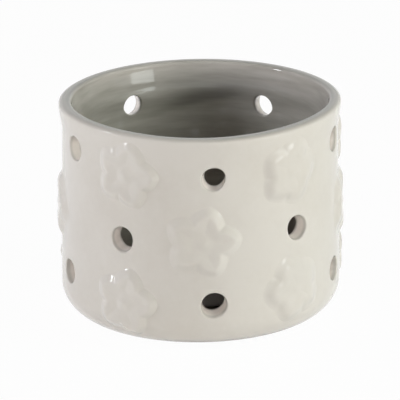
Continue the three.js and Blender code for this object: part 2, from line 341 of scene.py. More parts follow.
# Camera, fitted to the outline of the object in the photograph. Distances are in metres
IMAGE_SIZE = 400
FOCAL_PIXELS = 4642.6
SENSOR_WIDTH = 36.0
CAMERA_DISTANCE = 1.5
CAMERA_AZIMUTH = math.radians(-5.3)
CAMERA_ELEVATION = math.radians(18.25)
CAMERA_ROLL = math.radians(-0.37)
CAMERA_AIM_UP = 0.0006
CAMERA_AIM_RIGHT = -0.0001
CAMERA_CLIP = (0.01, 100.0)
MIDDLE = Vector((0, 0, CUP_HEIGHT / 2 * MM))  # what the camera and the lamps face


def smooth(value, start, end):
    """A share that goes smoothly from 0 to 1 between two values."""
    share = np.clip((value - start) / (end - start), 0, 1)
    return share * share * (3 - 2 * share)


def bank(value, width, ease):
    """A straight slope from 0 to 1 across a width, rounded at its foot and top."""

    def rise(start):
        return np.maximum(value - start, 0) ** 2 / 2

    return (rise(0) - rise(ease) - rise(width - ease) + rise(width)) / (ease * (width - ease))


def turn_angles(steps):
    """Evenly spaced angles of one turn."""
    return np.linspace(0, 2 * math.pi, steps, endpoint=False)


def at(angle, radius, height):
    """Points at an angle round the axis, a radius and a height."""
    angle, radius, height = np.broadcast_arrays(angle, radius, height)
    return np.stack([radius * np.sin(angle), -radius * np.cos(angle), height], axis=-1)


def arc(centre_radius, centre_height, radius, start, end, steps):
    """Radius and height of points along a circular arc, between two angles in degrees."""
    angle = np.radians(np.linspace(start, end, steps + 1))
    across, up = radius * np.cos(angle), radius * np.sin(angle)
    return np.stack([centre_radius + across, centre_height + up], axis=-1)


def places(holes):
    """The places of the holes, or else of the blossoms, each with the values of both kinds."""
    found = []
    for row in ROWS:
        for column in range(COLUMNS):
            is_hole = (column % 2 == 0) == row["hole_first"]
            if is_hole != holes:
                continue
            found.append(
                {
                    "number": len(found),
                    "name": f"{row['name']}_{column // 2 + 1}",
                    "angle": math.radians(column * 360 / COLUMNS + row["turns"][column]),
                    "height": row["height"] + RISE_HEIGHT * row["rises"][column],
                    "spin": math.radians(row["spins"][column // 2]),
                    "softness": row["softness"][column // 2],
                    "tilt": row["tilts"][column // 2],
                    "bore": row["bores"][column // 2],
                }
            )
    return found


class Net:
    """Points and faces of a mesh as it grows."""

    def __init__(self):
        self.points = []
        self.faces = []
        self.count = 0

    def add(self, points):
        """Adds an array of points and gives their numbers in the same layout."""
        flat = points.reshape(-1, 3)
        numbers = np.arange(self.count, self.count + len(flat)).reshape(points.shape[:-1])
        self.points.append(flat)
        self.count += len(flat)
        return numbers

    def bridge(self, lower, upper, keep=None):
        """Faces between two closed rings of points. keep marks the steps that get a face."""
        quads = np.stack([lower, np.roll(lower, -1), np.roll(upper, -1), upper], axis=-1)
        self.faces.extend((quads if keep is None else quads[keep]).tolist())

    def skin(self, rings):
        """Faces between each ring and the next."""
        for lower, upper in zip(rings, rings[1:]):
            self.bridge(lower, upper)

    def fan(self, ring, pole, outward=True):
        """Triangles from a ring to one point."""
        after = np.roll(ring, -1)
        corners = [ring, after] if outward else [after, ring]
        self.faces.extend(np.stack([*corners, np.full_like(ring, pole)], axis=-1).tolist())

    def object(self, name, material):
        """The mesh as an object, in metres."""
        mesh = bpy.data.meshes.new(name)
        mesh.from_pydata((np.concatenate(self.points) * MM).tolist(), [], self.faces)
        mesh.shade_smooth()
        mesh.materials.append(material)
        piece = bpy.data.objects.new(name, mesh)
        bpy.context.scene.collection.objects.link(piece)
        return piece


# Cup


def wobble(angle, height):
    """How far the thrown wall stands off a true circle."""
    oval_phase, wave_phase = WOBBLE_PHASES
    oval = np.sin(2 * angle + oval_phase)
    wave = WOBBLE_WAVE_SHARE * np.sin(3 * angle + wave_phase + WOBBLE_TWIST * height)
    return WOBBLE * (oval + wave) * smooth(height, 0, CUP_HEIGHT)


def throwing_rings(angle, height):
    """Shallow rings that fingers left in the inside of the wall."""
    above_floor, below_rim = THROWING_RING_FADES
    phase = 2 * math.pi * height / THROWING_RING_PITCH + angle + THROWING_RING_SWAY * np.sin(2 * angle)
    ripple = RIPPLE_SHARE * np.sin(RIPPLE_RATE * phase + RIPPLE_PHASE)
    fade_in = smooth(height, INSIDE_CORNER, INSIDE_CORNER + above_floor)
    fade_out = 1 - smooth(height, RIM_INSET - below_rim, RIM_INSET)
    return THROWING_RING_DEPTH * (fade_in * fade_out) * (np.sin(phase) + ripple)


def foot_inset(angle, height):
    """How far the foot is drawn in on one side, fading out up the wall."""
    facing = np.maximum(np.cos(angle - FOOT_INSET_SIDE), 0) ** 2
    return FOOT_INSET * facing * (1 - smooth(height, 0, FOOT_INSET_HEIGHT))


def wall_radius(height):
    """Radius of the outside, which narrows a little from the foot to the neck and flares in the lip."""
    rise = np.clip((height - FOOT_ROUNDING) / (LIP_START - FOOT_ROUNDING), 0, 1)
    return FOOT_RADIUS - FOOT_SWELL * rise + LIP_FLARE * smooth(height, LIP_START, RIM_INSET)


def inside_radius(angle, height):
    """Radius of the inside, which has a soft, uneven ridge below the lip and opens out in it."""
    uneven = 1 - RIDGE_UNEVENNESS + RIDGE_UNEVENNESS * np.sin(3 * angle + RIDGE_PHASE)
    ridge = RIDGE_DEPTH * uneven * smooth(height, RIDGE_START, INNER_LIP_START)
    lip = bank(height - INNER_LIP_START, CUP_HEIGHT - INNER_LIP_START, INNER_LIP_EASE)
    return INSIDE_RADIUS - ridge + INNER_LIP_FLARE * lip


def raised(angle, height):
    """Height with the lean and the wave of the rim, which fade out down the wall."""
    lean = RIM_LEAN * np.cos(angle - RIM_LEAN_SIDE)
    wave = RIM_WAVE * (np.sin(angle) * (1 + np.cos(angle))) ** 2 / RIM_WAVE_PEAK
    return height + (lean + wave) * smooth(height, RIM_RISE_START, CUP_HEIGHT)


def outside(angle, distance, lift=0.0):
    """Points on the outside of the cup at a distance up the wall, lifted off it the way that it faces."""
    bend = np.clip((FOOT_ROUNDING - distance) / FOOT_ROUNDING, 0, math.pi / 2)
    straight = distance >= FOOT_ROUNDING
    radius = np.where(straight, wall_radius(distance), FOOT_FLAT_RADIUS + FOOT_ROUNDING * np.cos(bend))
    height = np.where(straight, distance, FOOT_ROUNDING * (1 - np.sin(bend)))
    radius = radius + wobble(angle, height) - foot_inset(angle, height) + lift * np.cos(bend)
    return at(angle, radius, raised(angle, height) - lift * np.sin(bend))


def inside(angle, distance):
    """Points on the inside of the cup at a distance up its wall."""
    bend = np.clip((INSIDE_CORNER - distance) / INSIDE_CORNER_ROUNDING, 0, math.pi / 2)
    radius = inside_radius(angle, distance) - INSIDE_CORNER_ROUNDING * (1 - np.cos(bend))
    height = np.where(bend > 0, INSIDE_CORNER - INSIDE_CORNER_ROUNDING * np.sin(bend), distance)
    radius = radius + wobble(angle, height) + throwing_rings(angle, height)
    return at(angle, radius, raised(angle, height))


def underside(angle, radius):
    """Points on the underside: a flat foot ring round a shallow recess."""
    slope = smooth(radius, FOOT_RECESS_RADIUS - FOOT_RECESS_SLOPE, FOOT_RECESS_RADIUS)
    return at(angle, radius, FOOT_RECESS_DEPTH * (1 - slope))


def rim(angle, turn):
    """Points over the rim, from its outside at 0 degrees to its inside at 180."""
    side = np.radians(turn)
    outer = LIP_RADIUS - RIM_OUTER_WIDTH * (1 - np.cos(side))
    inner = inside_radius(angle, RIM_INSET) + RIM_INNER_WIDTH * (1 + np.cos(side))
    height = RIM_INSET + RIM_ROUNDING * np.sin(side)
    return at(angle, np.where(turn <= 90, outer, inner) + wobble(angle, height), raised(angle, height))


def hole_rings(place, loop_angle, loop_distance):
    """Rings of points from a loop in the outside of the wall through a hole to the same loop inside."""
    angle, height = place["angle"], place["height"]
    size, lean, climb = place["bore"]
    radii = (wall_radius(height), INSIDE_RADIUS)
    bores = (size * HOLE_OUTER_RADIUS, size * HOLE_INNER_RADIUS)
    mouths = [bore + HOLE_EDGE_ROUNDING for bore in bores]
    across = [(loop_angle - angle) * radius - lean * depth for depth, radius in enumerate(radii)]
    up = [loop_distance - height - climb * depth for depth in range(2)]
    outer_way, inner_way = np.arctan2(up, across)
    turn_between = (inner_way - outer_way + math.pi) % (2 * math.pi) - math.pi
    reaches = np.hypot(across, up)

    def points(radius, depth):
        """Side and height of points round the hole, at a depth from 0 outside to 1 inside."""
        way = outer_way + turn_between * depth
        return radius * np.cos(way) + lean * depth, height + climb * depth + radius * np.sin(way)

    def ring(radius, depth):
        """A ring of the hole itself, which isn't quite round."""
        way = outer_way + turn_between * depth
        oval = HOLE_OVAL * np.sin(2 * way + HOLE_OVAL_PHASE * place["number"])
        corners = HOLE_CORNERS * np.sin(3 * way + HOLE_CORNERS_PHASE * place["number"])
        side, rise = points(radius * (1 + oval + corners), depth)
        outer = outside(angle + side / radii[0], rise)
        inner = inside(angle + side / radii[1], rise)
        return outer * (1 - depth) + inner * depth

    def spread(share, depth):
        """A ring part of the way from the mouth to the loop, true to the loop at its end."""
        side, rise = points(mouths[depth] + (reaches[depth] - mouths[depth]) * share, depth)
        face = outside if depth == 0 else inside
        return face(angle + side / radii[depth], rise)

    edge = np.radians(np.linspace(0, 90, HOLE_EDGE_RINGS))
    rounding = HOLE_EDGE_ROUNDING / (radii[0] - radii[1])
    rings = [spread(share, 0) for share in HOLE_PATCH_SHARES]
    for turn in edge:
        radius = mouths[0] - HOLE_EDGE_ROUNDING * math.sin(turn)
        rings.append(ring(radius, rounding * (1 - math.cos(turn))))
    for share in np.linspace(0, 1, HOLE_BORE_RINGS + 2)[1:-1]:
        radius = bores[0] + (bores[1] - bores[0]) * share
        rings.append(ring(radius, rounding + (1 - 2 * rounding) * share))
    for turn in edge[::-1]:
        radius = mouths[1] - HOLE_EDGE_ROUNDING * math.sin(turn)
        rings.append(ring(radius, 1 - rounding * (1 - math.cos(turn))))
    rings += [spread(share, 1) for share in reversed(HOLE_PATCH_SHARES)]
    return rings


def block_loop(middle_column, middle_row):
    """Columns and rows of the grid points round a hole's patch, anticlockwise seen from outside."""
    span = np.arange(2 * HOLE_BLOCK)
    low, high = np.zeros_like(span), np.full_like(span, 2 * HOLE_BLOCK)
    columns = np.concatenate([span, high, high - span, low]) + middle_column - HOLE_BLOCK
    rows = np.concatenate([low, span, high, high - span]) + middle_row - HOLE_BLOCK
    return columns, rows


def foot_rings(angles):
    """Rings from the middle of the underside out to the foot ring and up round the foot."""
    foot_start = FOOT_ROUNDING * (1 - math.pi / 2)
    radii = np.linspace(AXIS_RING_RADIUS, FOOT_FLAT_RADIUS, UNDERSIDE_RINGS + 1)[:-1]
    distances = np.linspace(foot_start, WALL_BOTTOM, FOOT_RINGS + 1)[:-1]
    under = [underside(angles, radius) for radius in radii]
    return under + [outside(angles, distance) for distance in distances]


def rim_rings(angles):
    """Rings over the rim, between the top of the outer wall and the top of the inner wall."""
    outer_turns = np.linspace(0, 90, RIM_RINGS + 1)[1:]
    inner_turns = np.linspace(RIM_INNER_TURN, 180, RIM_RINGS + 1)[:-1]
    return [rim(angles, turn) for turn in (*outer_turns, *inner_turns)]


def floor_rings(angles):
    """Rings from the foot of the inner wall round the corner and in to the middle of the floor."""
    floor_start = INSIDE_CORNER - INSIDE_CORNER_ROUNDING * math.pi / 2
    floor_radius = INSIDE_RADIUS - INSIDE_CORNER_ROUNDING
    distances = np.linspace(WALL_BOTTOM, floor_start, CORNER_RINGS + 1)[1:]
    radii = np.linspace(floor_radius, AXIS_RING_RADIUS, FLOOR_RINGS + 1)[1:]
    corner = [inside(angles, distance) for distance in distances]
    return corner + [at(angles, radius, FLOOR_THICKNESS) for radius in radii]


def holder_body(material):
    """The cup as one closed skin: underside, foot, wall, rim, inside and floor, pierced by the holes."""
    net = Net()
    angles = turn_angles(TURN_STEPS)
    wall = np.linspace(WALL_BOTTOM, RIM_INSET, WALL_ROWS + 1)
    foot = foot_rings(angles)
    outer = [outside(angles, distance) for distance in wall]
    over = rim_rings(angles)
    inner = [inside(angles, distance) for distance in wall[::-1]]
    numbers = net.add(np.stack([*foot, *outer, *over, *inner, *floor_rings(angles)]))
    first_outer = len(foot)
    last_inner = first_outer + len(outer) + len(over) + len(inner) - 1

    keep = np.ones((len(numbers) - 1, TURN_STEPS), bool)
    for hole in places(holes=True):
        middle_column = round(hole["angle"] / (2 * math.pi) * TURN_STEPS)
        middle_row = round((hole["height"] - WALL_BOTTOM) / (wall[1] - wall[0]))
        columns, rows = block_loop(middle_column, middle_row)
        loop_angle = columns * 2 * math.pi / TURN_STEPS
        around = columns % TURN_STEPS
        block = np.arange(middle_column - HOLE_BLOCK, middle_column + HOLE_BLOCK) % TURN_STEPS
        for row in range(middle_row - HOLE_BLOCK, middle_row + HOLE_BLOCK):
            keep[first_outer + row, block] = False
            keep[last_inner - row - 1, block] = False
        loops = [numbers[first_outer + rows, around]]
        loops += [net.add(points) for points in hole_rings(hole, loop_angle, wall[rows])]
        loops.append(numbers[last_inner - rows, around])
        net.skin(loops)
    for row, kept in enumerate(keep):
        net.bridge(numbers[row], numbers[row + 1], kept)
    under_pole, floor_pole = net.add(np.array([[0, 0, FOOT_RECESS_DEPTH], [0, 0, FLOOR_THICKNESS]]))
    net.fan(numbers[0], under_pole, outward=False)
    net.fan(numbers[-1], floor_pole)
    return net.object("glazed_cup", material)


# Blossoms


def nearest_petal(direction):
    """The petal that a direction lies in, and how far the direction is off that petal's middle."""
    spread = 2 * math.pi / PETALS
    index = np.round(direction / spread)
    return index % PETALS, direction - index * spread


def softness_at(place, direction):
    """Softness of a blossom's edge in a direction, between those of its left and right sides."""
    left, right = place["softness"]
    return right + (left - right) * (1 - np.cos(direction + place["spin"])) / 2


def outline_radius(place, direction):
    """Distance from a blossom's centre to its outline."""
    index, off = nearest_petal(direction)
    softness = softness_at(place, direction)
    phase = BLOSSOM_PHASE * place["number"]
    size = SIZE_VARIATION * math.sin(phase + SIZE_PHASE)
    shrink = SHARP_SHRINK * np.maximum(softness / SHARPEST, 0)
    tip = TIP_RADIUS + size - shrink + PETAL_VARIATION * np.sin(PETAL_PHASE * index + phase)
    fall = np.hypot(off, TIP_TURN) - TIP_TURN
    notch = NOTCH_RADIUS - shrink + NOTCH_FILL * np.maximum(softness, 0)
    return tip - (tip - notch) * fall / (math.hypot(math.pi / PETALS, TIP_TURN) - TIP_TURN)


def distance_inside(place, radius, direction):
    """Shortest distance from points to a blossom's outline, positive inside it."""
    across, up = radius * np.cos(direction), radius * np.sin(direction)
    way = turn_angles(OUTLINE_STEPS)
    reach = outline_radius(place, way)
    line_across, line_up = reach * np.cos(way), reach * np.sin(way)
    gap = np.hypot(across[..., None] - line_across, up[..., None] - line_up).min(axis=-1)
    return np.where(radius <= outline_radius(place, direction), gap, -gap)


def across_wall(place, radius, direction):
    """How far points of a blossom lie to the right of its centre, along the wall."""
    return radius * (1 + SIDE_REACH / TIP_RADIUS) * np.cos(direction + place["spin"])


def relief(place, radius, direction):
    """Height of a blossom's face above the wall: a bevelled edge, creases, and a hollow round a boss."""
    softness = softness_at(place, direction)
    bevel = BEVEL_WIDTH + (SOFT_BEVEL_WIDTH - BEVEL_WIDTH) * softness
    ease = EDGE_EASE + (SOFT_EDGE_EASE - EDGE_EASE) * softness
    edge = distance_inside(place, radius, direction)
    slope = bank(edge + SKIRT_WIDTH, SKIRT_WIDTH + bevel, ease)
    tilt = place["tilt"] / 2 * across_wall(place, radius, direction) / TIP_RADIUS
    pad = (RELIEF * (1 + tilt) + SKIRT_DIP) * slope - SKIRT_DIP
    dish = DISH_DEPTH * smooth(edge, bevel - ease / 2, bevel + DISH_WIDTH)
    _, off = nearest_petal(direction)
    to_crease = radius * np.sin(math.pi / PETALS - np.abs(off))
    crease_reach = smooth(radius, NOTCH_RADIUS - CREASE_LENGTH, NOTCH_RADIUS) * smooth(edge, 0, BEVEL_WIDTH)
    crease = CREASE_DEPTH * crease_reach * np.exp(-((to_crease / CREASE_WIDTH) ** 2))
    boss = BOSS_HEIGHT * np.exp(-((radius / BOSS_RADIUS) ** 2))
    return pad + (1 - sum(place["softness"]) / 2) * (boss - dish - crease)


def blossom_object(place, material):
    """One blossom: a disc drawn out to its outline, raised, and wrapped round the wall."""
    net = Net()
    direction = turn_angles(BLOSSOM_STEPS)
    reach = outline_radius(place, direction)
    shares = np.linspace(0, 1, BLOSSOM_RINGS + 1)[1:]
    skirt = np.linspace(0, SKIRT_WIDTH, BLOSSOM_SKIRT_RINGS + 1)[1:]
    face = np.concatenate([shares[:, None] * reach, reach + skirt[:, None]])
    back = face[-1] * np.linspace(1, 0, BLOSSOM_BACK_RINGS + 1)[:-1, None]
    radius = np.concatenate([face, back])
    lift = np.concatenate([relief(place, face, direction), np.full_like(back, -BACK_DEPTH)])
    turn = place["angle"] + across_wall(place, radius, direction) / wall_radius(place["height"])
    rings = net.add(outside(turn, place["height"] + radius * np.sin(direction + place["spin"]), lift))
    for inner, outer in zip(rings, rings[1:]):
        net.bridge(outer, inner)
    centre = (np.full(2, place["angle"]), np.full(2, place["height"]))
    middle = relief(place, np.zeros(1), np.zeros(1))[0]
    face_pole, back_pole = net.add(outside(*centre, np.array([middle, -BACK_DEPTH])))
    net.fan(rings[0], face_pole)
    net.fan(rings[-1], back_pole, outward=False)
    return net.object(f"blossom_{place['name']}", material)


# Tealight


def turned(profile, steps):
    """A closed form turned about the axis from a profile with both ends on it, or closed on itself."""
    net = Net()
    profile = np.asarray(profile, float)
    poles = profile[0][0] == 0
    middle = profile[1:-1] if poles else profile
    radius, height = middle[:, :1], middle[:, 1:]
    rings = net.add(at(turn_angles(steps), radius, height + TEALIGHT_BASE))
    net.skin(rings)
    if poles:
        ends = np.array([[0, 0, profile[0][1]], [0, 0, profile[-1][1]]]) + (0, 0, TEALIGHT_BASE)
        start, end = net.add(ends)
        net.fan(rings[0], start, outward=False)
        net.fan(rings[-1], end)
    else:
        net.bridge(rings[-1], rings[0])
    return net


def foil_cup(material):
    """A thin cup with a rounded corner and a rolled bead round its rim."""
    outer = FOIL_CORNER_ROUNDING
    inner = FOIL_CORNER_ROUNDING - FOIL_THICKNESS
    corner = TEALIGHT_RADIUS - outer
    bead = TEALIGHT_HEIGHT - FOIL_RIM_RADIUS
    floor = np.linspace(FOIL_INNERMOST_RADIUS, corner, FOIL_FLOOR_RINGS + 1)[:-1]
    side = np.linspace(outer, bead - FOIL_RIM_RADIUS, FOIL_SIDE_RINGS + 1)[1:]
    profile = [
        [0, 0],
        *[[radius, 0] for radius in floor],
        *arc(corner, outer, outer, -90, 0, FOIL_CORNER_STEPS),
        *[[TEALIGHT_RADIUS, height] for height in side],
        *arc(TEALIGHT_RADIUS - FOIL_THICKNESS / 2, bead, FOIL_RIM_RADIUS, -45, 225, FOIL_BEAD_STEPS),
        *[[TEALIGHT_RADIUS - FOIL_THICKNESS, height] for height in side[::-1]],
        *arc(corner, outer, inner, 0, -90, FOIL_CORNER_STEPS),
        *[[radius, FOIL_THICKNESS] for radius in floor[::-1]],
        [0, FOIL_THICKNESS],
    ]
    return turned(profile, FOIL_STEPS).object("foil_cup", material)


def wax(material):
    """A fill with room for the tab and the wick, which clings to the foil and to the wick at its top."""
    recess = TAB_RADIUS + TEALIGHT_GAP
    collar = COLLAR_RADIUS + TEALIGHT_GAP
    corner = FOIL_CORNER_ROUNDING - FOIL_THICKNESS
    radius = np.linspace(WAX_RADIUS, WICK_BORE, WAX_TOP_RINGS)
    from_wick = radius - WICK_BORE
    climb = WAX_MENISCUS * smooth(radius, WAX_RADIUS - WAX_MENISCUS_WIDTH, WAX_RADIUS) ** 2
    sink = WAX_SINK * np.exp(-((from_wick / WAX_SINK_WIDTH) ** 2))
    cling = WAX_CLING * np.exp(-((from_wick / WAX_CLING_WIDTH) ** 2))
    profile = [
        [recess, WAX_BOTTOM],
        *arc(WAX_RADIUS - corner, WAX_BOTTOM + corner, corner, -90, 0, WAX_CORNER_STEPS),
        *np.stack([radius, WAX_TOP + climb - sink + cling], axis=-1),
        [WICK_BORE, COLLAR_TOP + TEALIGHT_GAP],
        [collar, COLLAR_TOP + TEALIGHT_GAP],
        [collar, TAB_TOP + TEALIGHT_GAP],
        [recess, TAB_TOP + TEALIGHT_GAP],
    ]
    return turned(profile, WAX_STEPS).object("wax_fill", material)


def wick(material):
    """A cord of twisted strands that leans over a little at its top."""
    net = Net()
    heights = np.linspace(TAB_TOP + TEALIGHT_GAP, WICK_TOP, WICK_RINGS)[:, None]
    around = turn_angles(WICK_STEPS)
    lean = WICK_LEAN * np.clip((heights - WAX_TOP) / WICK_STANDOUT, 0, 1) ** 2
    strands = np.abs(np.cos(WICK_STRANDS / 2 * (around - WICK_TWIST * heights)))
    frayed = 1 - WICK_TIP_TAPER * smooth(heights, WICK_TOP - WICK_TIP_LENGTH, WICK_TOP)
    radius = WICK_RADIUS * (1 - WICK_GROOVE + WICK_GROOVE * strands) * frayed
    across, along = lean + radius * np.cos(around), radius * np.sin(around)
    rings = np.stack(np.broadcast_arrays(across, along, heights + TEALIGHT_BASE), axis=-1)
    numbers = net.add(rings)
    net.skin(numbers)
    top = rings[-1].mean(axis=0) + (0, 0, WICK_TIP_DOME)
    bottom_pole, top_pole = net.add(np.array([rings[0].mean(axis=0), top]))
    net.fan(numbers[0], bottom_pole, outward=False)
    net.fan(numbers[-1], top_pole)
    return net.object("twisted_wick", material)


# Materials


class Nodes:
    """Shorthand for building a material's or the world's node tree."""

    def __init__(self, owner):
        owner.use_nodes = True
        self.tree = owner.node_tree
        self.tree.nodes.clear()

    def add(self, kind, inputs=None, **settings):
        """Adds a node, and sets or links its inputs. Colours are given without an alpha."""
        node = self.tree.nodes.new(kind)
        for name, value in settings.items():
            setattr(node, name, value)
        for name, value in (inputs or {}).items():
            socket = node.inputs[name]
            if isinstance(value, bpy.types.NodeSocket):
                self.tree.links.new(value, socket)
            else:
                socket.default_value = (*value, 1) if socket.type == "RGBA" else value
        return node

    def math(self, operation, *values):
        return self.add("ShaderNodeMath", dict(enumerate(values)), operation=operation).outputs[0]

    def product(self, first, *others):
        for other in others:
            first = self.math("MULTIPLY", first, other)
        return first

    def coordinate(self, name):
        return self.add("ShaderNodeTexCoord").outputs[name]

    def split(self, vector):
        return self.add("ShaderNodeSeparateXYZ", {"Vector": vector}).outputs

    def stretch(self, vector, scale):
        return self.add("ShaderNodeMapping", {"Vector": vector, "Scale": scale}).outputs["Vector"]

    def noise(self, vector, scale, detail=2.0, roughness=0.5):
        inputs = {"Vector": vector, "Scale": scale, "Detail": detail, "Roughness": roughness}
        return self.add("ShaderNodeTexNoise", inputs).outputs["Fac"]

    def range(self, value, span, results, kind="LINEAR"):
        """A value that goes from one result to another as its source goes through a span."""
        names = ("From Min", "From Max", "To Min", "To Max")
        inputs = {"Value": value, **dict(zip(names, (*span, *results)))}
        return self.add("ShaderNodeMapRange", inputs, interpolation_type=kind).outputs["Result"]

    def fade(self, value, span, results, kind="LINEAR"):
        """The same for a span in millimetres."""
        return self.range(value, [edge * MM for edge in span], results, kind)

    def ramp(self, value, span, dark, pale):
        """A colour that goes from dark to pale as a value goes through a span."""
        node = self.add("ShaderNodeValToRGB", {"Fac": value})
        for element, position, color in zip(node.color_ramp.elements, span, (dark, pale)):
            element.position = position
            element.color = (*color, 1)
        return node.outputs["Color"]

    def mix(self, factor, first, second):
        """A colour between two colours. The Mix node's colour sockets are its seventh and eighth."""
        inputs = {0: factor, 6: first, 7: second}
        return self.add("ShaderNodeMix", inputs, data_type="RGBA").outputs[2]

    def bump(self, height, strength, depth):
        """The normal of a surface that is uneven by a depth in millimetres."""
        inputs = {"Strength": strength, "Distance": depth * MM, "Height": height}
        return self.add("ShaderNodeBump", inputs).outputs["Normal"]

    def principled(self, inputs):
        return self.add("ShaderNodeBsdfPrincipled", inputs).outputs[0]

    def mix_shaders(self, factor, first, second):
        return self.add("ShaderNodeMixShader", {0: factor, 1: first, 2: second}).outputs[0]

    def output(self, surface, kind="ShaderNodeOutputMaterial"):
        self.add(kind, {"Surface": surface})


def make_material(name, shader, *finish):
    """A material with the shader that a function builds from nodes."""
    material = bpy.data.materials.new(name)
    nodes = Nodes(material)
    nodes.output(shader(nodes, *finish))
    return material


def shade_ring_share(nodes, spot):
    """How far the ring of painted shade below the lip darkens the inside."""
    tilted = nodes.math("SUBTRACT", spot["Z"], nodes.math("MULTIPLY", spot["X"], SHADE_RING_TILT))
    foot = nodes.fade(tilted, SHADE_RING_FOOT, (0.0, 1.0), "SMOOTHSTEP")
    top = nodes.fade(tilted, SHADE_RING_TOP, (1.0, SHADE_RING_ON_LIP), "SMOOTHSTEP")
    aside = nodes.math("ABSOLUTE", nodes.math("SUBTRACT", spot["X"], SHADE_RING_MIDDLE * MM))
    density = nodes.fade(aside, SHADE_RING_SPREAD, SHADE_RING_DENSITY, "SMOOTHSTEP")
    behind = nodes.fade(spot["Y"], SHADE_RING_BEHIND, (0.0, 1.0))
    return nodes.product(behind, density, foot, top)


def lip_shade_share(nodes, spot):
    """How far the grey painted shade on the lip darkens the inside."""
    high = nodes.fade(spot["Z"], LIP_SHADE_HEIGHTS, LIP_SHADE_DENSITY, "SMOOTHSTEP")
    return nodes.product(nodes.fade(spot["X"], LIP_SHADE_SIDES, LIP_SHADE_SIDE_SHARES), high)


def deep_shade_share(nodes, spot):
    """How far the warm painted shade low down darkens the inside."""
    deep = nodes.fade(spot["Z"], DEEP_SHADE_HEIGHTS, (DEEP_SHADE_DENSITY, 0.0), "SMOOTHSTEP")
    return nodes.product(nodes.fade(spot["X"], DEEP_SHADE_SIDES, (0.0, 1.0)), deep)


def inside_color(nodes, place, spot):
    """Streaked glaze, darkened by painted shade below the lip, on the right of the lip and low down."""
    streaks = nodes.noise(nodes.stretch(place, STREAK_STRETCH), scale=260.0, detail=3.0, roughness=0.6)
    color = nodes.ramp(streaks, STREAK_SPAN, SHADED_INSIDE_DARK, SHADED_INSIDE_PALE)
    color = nodes.mix(shade_ring_share(nodes, spot), color, SHADE_RING_COLOR)
    color = nodes.mix(lip_shade_share(nodes, spot), color, LIP_SHADE_COLOR)
    return nodes.mix(deep_shade_share(nodes, spot), color, DEEP_SHADE_COLOR)


def inside_share(nodes, radius, height):
    """1 on the inside, which opens out in the lip, and 0 further out."""
    flare = nodes.fade(height, (INNER_LIP_START, CUP_HEIGHT), (0.0, INNER_LIP_FLARE * MM))
    inset = nodes.math("SUBTRACT", radius, flare)
    return nodes.fade(inset, [INSIDE_RADIUS + depth for depth in INSIDE_SKIN], (1.0, 0.0))


def bore_share(nodes, radius, height):
    """1 in the holes, where painted light brightens the glaze, and 0 on the outside, in the lip and in the
    foot.
    """
    within = nodes.fade(radius, [NECK_RADIUS - depth for depth in BORE_SKIN], (1.0, 0.0))
    below_lip = nodes.fade(height, (INNER_LIP_START, INNER_LIP_START + BORE_LIP_FADE), (1.0, 0.0))
    above_foot = nodes.fade(height, BORE_FOOT_FADE, (0.0, 1.0))
    return nodes.product(within, below_lip, above_foot)


def rim_top_shade_share(nodes, height):
    """How far painted shade darkens the upward faces on top of the rim."""
    upward = nodes.split(nodes.coordinate("Normal"))["Z"]
    on_rim = nodes.fade(height, (RIM_INSET - RIM_TOP_SHADE_FADE, RIM_INSET), (0.0, 1.0))
    return nodes.product(on_rim, nodes.range(upward, RIM_TOP_SHADE_UPWARD, (0.0, RIM_TOP_SHADE_SHARE)))


def glaze_color(nodes, place):
    """Colour of the glaze outside, with painted light in the holes, and painted shade inside and on top of
    the rim.
    """
    spot = nodes.split(place)
    height = spot["Z"]
    flat = nodes.add("ShaderNodeVectorMath", {0: place, 1: (1, 1, 0)}, operation="MULTIPLY").outputs[0]
    radius = nodes.add("ShaderNodeVectorMath", {0: flat}, operation="LENGTH").outputs["Value"]
    clouds = nodes.noise(place, scale=28.0, detail=3.0, roughness=0.55)
    grain = nodes.noise(place, scale=420.0, roughness=0.6)
    mottle = nodes.math("ADD", clouds, nodes.math("MULTIPLY", grain, MOTTLE_GRAIN))
    outer = nodes.ramp(mottle, MOTTLE_SPAN, GLAZE_DARK, GLAZE_PALE)
    # painted light: the holes' bores are given a lighter glaze
    bore = nodes.ramp(mottle, MOTTLE_SPAN, BORE_LIT_DARK, BORE_LIT_PALE)
    color = nodes.mix(bore_share(nodes, radius, height), outer, bore)
    # painted shade: the inside's darker glaze and its darker marks
    color = nodes.mix(inside_share(nodes, radius, height), color, inside_color(nodes, place, spot))
    # painted shade on the upward faces on top of the rim
    return nodes.mix(rim_top_shade_share(nodes, height), color, RIM_TOP_SHADE_COLOR)


def glaze(nodes, place):
    """Glossy glaze whose surface swells a little."""
    swell = nodes.noise(place, scale=160.0, roughness=0.4)
    return nodes.principled(
        {
            "Base Color": glaze_color(nodes, place),
            "Roughness": nodes.range(nodes.noise(place, scale=90.0), NOISE_SPAN, GLAZE_ROUGHNESS),
            "IOR": GLAZE_IOR,
            "Normal": nodes.bump(swell, strength=0.25, depth=0.04),
        }
    )


def bare_clay(nodes, place):
    """Gritty bisque."""
    grit = nodes.noise(place, scale=1800.0, detail=3.0, roughness=0.7)
    return nodes.principled(
        {
            "Base Color": nodes.ramp(grit, NOISE_SPAN, CLAY_DARK, CLAY_PALE),
            "Roughness": CLAY_ROUGHNESS,
            "Normal": nodes.bump(grit, strength=0.5, depth=0.05),
        }
    )


def glazed_clay(nodes):
    """Glossy off-white glaze, mottled, and darkened inside by painted shade, over bisque that is bare on
    the foot ring.
    """
    place = nodes.coordinate("Object")
    waver = nodes.math("MULTIPLY", nodes.noise(place, scale=300.0), GLAZE_LINE_WAVER * MM)
    glazed = nodes.fade(nodes.math("ADD", nodes.split(place)["Z"], waver), GLAZE_LINE, (0.0, 1.0))
    return nodes.mix_shaders(glazed, bare_clay(nodes, place), glaze(nodes, place))


